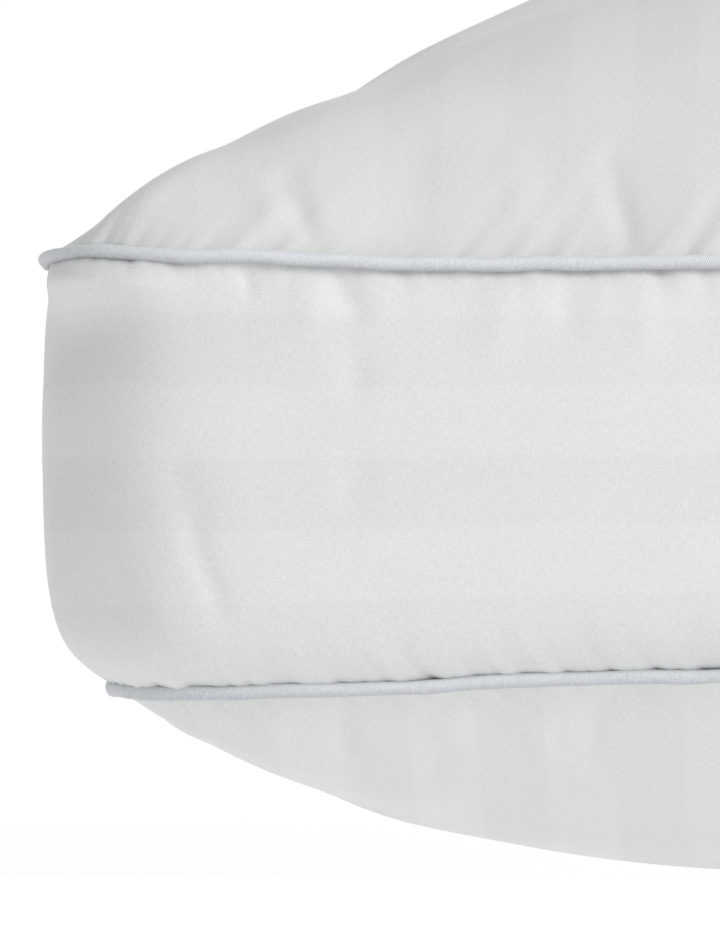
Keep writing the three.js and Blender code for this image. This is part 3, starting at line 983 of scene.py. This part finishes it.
def sateen(name, stripes_along_y, start):
    """White sateen with a self stripe: shiny stripes and plain ones take turns. The stripes run along
    the cloth's second direction, or along its first. start is where a shiny stripe begins."""
    shader = Shader(name, 0.6, sheen=0.25)
    x, y = shader.cloth_place()
    across, along = (x, y) if stripes_along_y else (y, x)
    turn = shader.math("MULTIPLY", shader.math("SUBTRACT", across, start * MM), math.pi / (STRIPE * MM))
    wave = shader.math("MULTIPLY", shader.math("SINE", turn), 8.0)
    shiny = shader.math("MULTIPLY_ADD", wave, 0.5, 0.5)
    shiny.node.use_clamp = True
    yarn = shader.noise(across, along, 0.25, 0.9, 1.0)
    weft = shader.noise(across, along, 0.9, 0.25, 1.0)
    cloud = shader.noise(across, along, 14, 30, 3.0)
    weave = shader.math("MULTIPLY_ADD", yarn, 0.5, shader.math("MULTIPLY", weft, 0.5))
    # The shiny stripes are painted a little lighter, a painted sheen; their lower roughness below is real.
    tone = shader.math("MULTIPLY_ADD", shiny, 0.11, shader.math("MULTIPLY", weave, 1.15))
    tone = shader.math("MULTIPLY_ADD", cloud, 0.15, tone)
    tone.node.use_clamp = True
    shader.colour((0.552, 0.563, 0.556), (0.692, 0.703, 0.696), tone)
    rough = shader.math("MULTIPLY_ADD", shiny, -0.04, 0.63)
    shader.feed(shader.principled.inputs["Roughness"], rough)
    shader.bump(weave, 0.05)
    return shader.material


def wound_satin(name):
    """Bright yarn wound side by side round a cord, on a slant. Its underside is painted darker as painted
    shade, its upper side lighter as painted light, and the grooves between its turns darker as painted
    shade.
    """
    shader = Shader(name, 0.34, sheen=0.1)
    x, turn = shader.cloth_place()
    pitch = shader.math("DIVIDE", x, WINDING * MM)
    slack = shader.noise(x, turn, 2.5, 600, 1.0)
    phase = shader.math("MULTIPLY_ADD", turn, -9.0, pitch)
    phase = shader.math("MULTIPLY_ADD", slack, 0.8, phase)
    ridge = shader.math("ABSOLUTE", shader.math("SINE", shader.math("MULTIPLY", phase, math.pi)))
    round_ridge = shader.math("POWER", ridge, 0.7)
    uneven = shader.noise(x, turn, 0.5, 150, 2.0)
    height = shader.math("MULTIPLY_ADD", uneven, 0.5, shader.math("MULTIPLY", round_ridge, 0.75))
    height.node.use_clamp = True
    # Painted shade and painted light: the cord's surface is darkened where it faces down and lightened where
    # it faces up and out.
    facing = shader.math("MULTIPLY_ADD", turn, 2 * math.pi, -0.70 * 2 * math.pi)
    upper = shader.math("MULTIPLY_ADD", shader.math("COSINE", facing), 0.27, 0.15)
    # The tone is also darker in the grooves between the turns of yarn, a painted shade, and uneven at
    # random.
    tone = shader.math("MULTIPLY_ADD", height, 0.8, upper)
    tone.node.use_clamp = True
    shader.colour((0.22, 0.235, 0.255), (0.74, 0.765, 0.80), tone)
    shader.bump(height, 0.10)
    return shader.material


def spun(name, light, pitch, depth, roughness=0.8):
    """Twisted or felted yarn: a plain colour with a fine uneven twist."""
    shader = Shader(name, roughness, sheen=0.2)
    x, y = shader.cloth_place()
    twist = shader.noise(x, y, pitch, pitch * 3, 3.0)
    shader.colour(tuple(0.8 * c for c in light), light, twist)
    shader.bump(twist, depth)
    return shader.material


# ---- The pieces ----


def register(piece, slot, *nodes):
    """Says what a piece moves with and hides the CAD nodes it replaces. slot, a material slot's name, is not
    used.
    """
    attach(piece, "root")
    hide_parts(*nodes)
    return piece


PANEL_CLOTH = sateen("panel_sateen", True, 1.0)
BAND_CLOTH = sateen("band_sateen", False, 12.0)
SATIN = wound_satin("piping_satin")
COTTON = spun("piping_cotton", (0.82, 0.81, 0.79), 0.4, 0.05)
THREAD = spun("sewing_thread", (0.80, 0.81, 0.81), 0.15, 0.04, 0.5)
FIBRE = spun("fibre_fill", (0.90, 0.90, 0.89), 1.5, 0.6, 0.95)
LABEL = spun("label_cloth", (0.86, 0.87, 0.88), 0.3, 0.03, 0.7)

top_grid, bottom_grid, band_grid = cover_grids()
band_face = band_skin(band_grid, BAND_PLACES, 300)

top = panel(
    "top_panel_cloth", top_grid, TOP_END, 1, UPPER_HALF, TOP_SETTLE, UPPER_CROWN, TOP_FOLDS, 100, PANEL_CLOTH
)
bottom = panel(
    "bottom_panel_cloth",
    bottom_grid,
    BOTTOM_END,
    -1,
    LOWER_HALF,
    BOTTOM_SETTLE,
    LOWER_SEAM,
    BOTTOM_FOLDS,
    200,
    PANEL_CLOTH,
)
side = band("gusset_cloth", band_grid, band_face, BAND_CLOTH)
fibre = filling("fibre_fill_mass", top_grid, bottom_grid, band_grid, FIBRE)
register(top, "cover_cloth", "top_panel")
register(bottom, "cover_cloth", "bottom_panel")
register(side, "cover_cloth", "gusset_band")
register(fibre, "fibre_fill", "fibre_filling")


def seam_line(grid, seed):
    """The line that a seam's cord and threads follow: the cloth's edge, evened out a little."""
    even = spline(smooth_closed(grid[0], 1.5), PLACES, True)
    return offset(even, 0, 0.12 * ripple(seed, 12, 60))


def thread_section(up):
    return circle(-3.2, up, THREAD_RADIUS, 6)


for name, grid, turn, seed in (("top", top_grid, 1, 400), ("bottom", bottom_grid, -1, 410)):
    line = seam_line(grid, seed)
    uneven = 1 + 0.035 * ripple(seed + 1, 5, 40)
    wrap = swept(f"{name}_piping_satin", line, circle(CORD_OUT, 0, CORD_RADIUS, 16), SATIN, 0, uneven)
    core = swept(f"{name}_piping_cord", line, circle(CORD_OUT, 0, 0.5, 8), COTTON, 1)
    tape_section = [(-9, -0.08), (0.2, -0.08), (0.2, 0.08), (-9, 0.08)]
    tape = swept(f"{name}_piping_binding", line, tape_section, COTTON, 2)
    needle = swept(f"{name}_needle_stitches", line, thread_section(turn * 0.85), THREAD, 1)
    bobbin = swept(f"{name}_bobbin_stitches", line, thread_section(-turn * 0.85), THREAD, 1)
    register(wrap, "piping_satin", f"{name}_piping_wrap")
    register(core, "piping_cotton", f"{name}_piping_core")
    register(tape, "piping_cotton", f"{name}_piping_tape")
    register(needle, "sewing_thread", f"{name}_seam_needle_thread")
    register(bobbin, "sewing_thread", f"{name}_seam_bobbin_thread")

register(join_stitches("gusset_join_stitches", band_face, THREAD), "sewing_thread", "gusset_join_thread")
register(closing_stitches("closing_stitches", band_face, THREAD), "sewing_thread", "closing_thread")
register(care_tag("care_tag", band_face, LABEL), "label_cloth", "care_label")

# ---- The room, the light and the camera ----

SKY = 0.72  # brightness all round, and how much more of it comes from the right and from above
SKY_RIGHT = 0.16
SKY_UP = -0.06
FLOOR_GLOW = 0.8  # the floor's own light, which keeps it white
FLOOR_HALF = 60  # in metres


def white_room():
    """An even white surround, a little brighter on the right."""
    world = bpy.data.worlds.new("studio")
    bpy.context.scene.world = world
    world.use_nodes = True
    tree = world.node_tree
    seen = tree.nodes["Background"]
    seen.inputs["Color"].default_value = (1, 1, 1, 1)
    seen.inputs["Strength"].default_value = 1.0
    around = tree.nodes.new("ShaderNodeBackground")
    around.inputs["Color"].default_value = (0.985, 1.0, 0.995, 1)
    place_in_room = tree.nodes.new("ShaderNodeTexCoord")
    slope = tree.nodes.new("ShaderNodeVectorMath")
    slope.operation = "DOT_PRODUCT"
    slope.inputs[1].default_value = (SKY_RIGHT, 0, SKY_UP)
    tree.links.new(place_in_room.outputs["Generated"], slope.inputs[0])
    total = tree.nodes.new("ShaderNodeMath")
    total.operation = "ADD"
    total.inputs[1].default_value = SKY
    tree.links.new(slope.outputs["Value"], total.inputs[0])
    tree.links.new(total.outputs[0], around.inputs["Strength"])
    rays = tree.nodes.new("ShaderNodeLightPath")
    mix = tree.nodes.new("ShaderNodeMixShader")
    tree.links.new(rays.outputs["Is Camera Ray"], mix.inputs[0])
    tree.links.new(around.outputs[0], mix.inputs[1])
    tree.links.new(seen.outputs[0], mix.inputs[2])
    tree.links.new(mix.outputs[0], tree.nodes["World Output"].inputs[0])


def floor():
    """A plain pale floor."""
    size = FLOOR_HALF
    mesh = bpy.data.meshes.new("floor")
    corners = [(-size, -size, 0), (size, -size, 0), (size, size, 0), (-size, size, 0)]
    mesh.from_pydata(corners, [], [(0, 1, 2, 3)])
    material = bpy.data.materials.new("floor")
    material.use_nodes = True
    shader = material.node_tree.nodes["Principled BSDF"]
    shader.inputs["Base Color"].default_value = (0.3, 0.3, 0.3, 1)
    shader.inputs["Roughness"].default_value = 0.9
    shader.inputs["Specular IOR Level"].default_value = 0.0
    shader.inputs["Emission Color"].default_value = (1, 1, 1, 1)
    shader.inputs["Emission Strength"].default_value = FLOOR_GLOW
    mesh.materials.append(material)
    made = bpy.data.objects.new("floor", mesh)
    bpy.context.scene.collection.objects.link(made)


def soft_light(name, location, target, size, power):
    data = bpy.data.lights.new(name, "AREA")
    data.shape = "DISK"
    data.size = size
    data.energy = power
    light = bpy.data.objects.new(name, data)
    bpy.context.scene.collection.objects.link(light)
    light.location = location
    direction = Vector(target) - Vector(location)
    light.rotation_euler = direction.to_track_quat("-Z", "Y").to_euler()


VIEW_HEIGHT = 132.6  # what the picture takes in from top to bottom, at the pillow's front
VIEW_DISTANCE = 3000
VIEW_X = 45  # the picture's middle is this far in from the pillow's end
VIEW_Z = 60


def camera():
    """The photo's view: level, and square to the pillow's front."""
    data = bpy.data.cameras.new("camera")
    data.sensor_width = 36
    data.lens = data.sensor_width * VIEW_DISTANCE / VIEW_HEIGHT
    data.clip_start = 0.05
    data.clip_end = 100
    made = bpy.data.objects.new("camera", data)
    bpy.context.scene.collection.objects.link(made)
    made.location = np.array([VIEW_X - UPPER_HALF[0], -UPPER_HALF[1] - VIEW_DISTANCE, VIEW_Z]) * MM
    made.rotation_euler = (math.pi / 2, 0, 0)
    bpy.context.scene.camera = made


white_room()
floor()
soft_light("key", (1.3, -1.6, 1.1), (-0.1, -0.1, 0.08), 1.2, 26)
camera()
bpy.context.scene.view_settings.view_transform = "Standard"
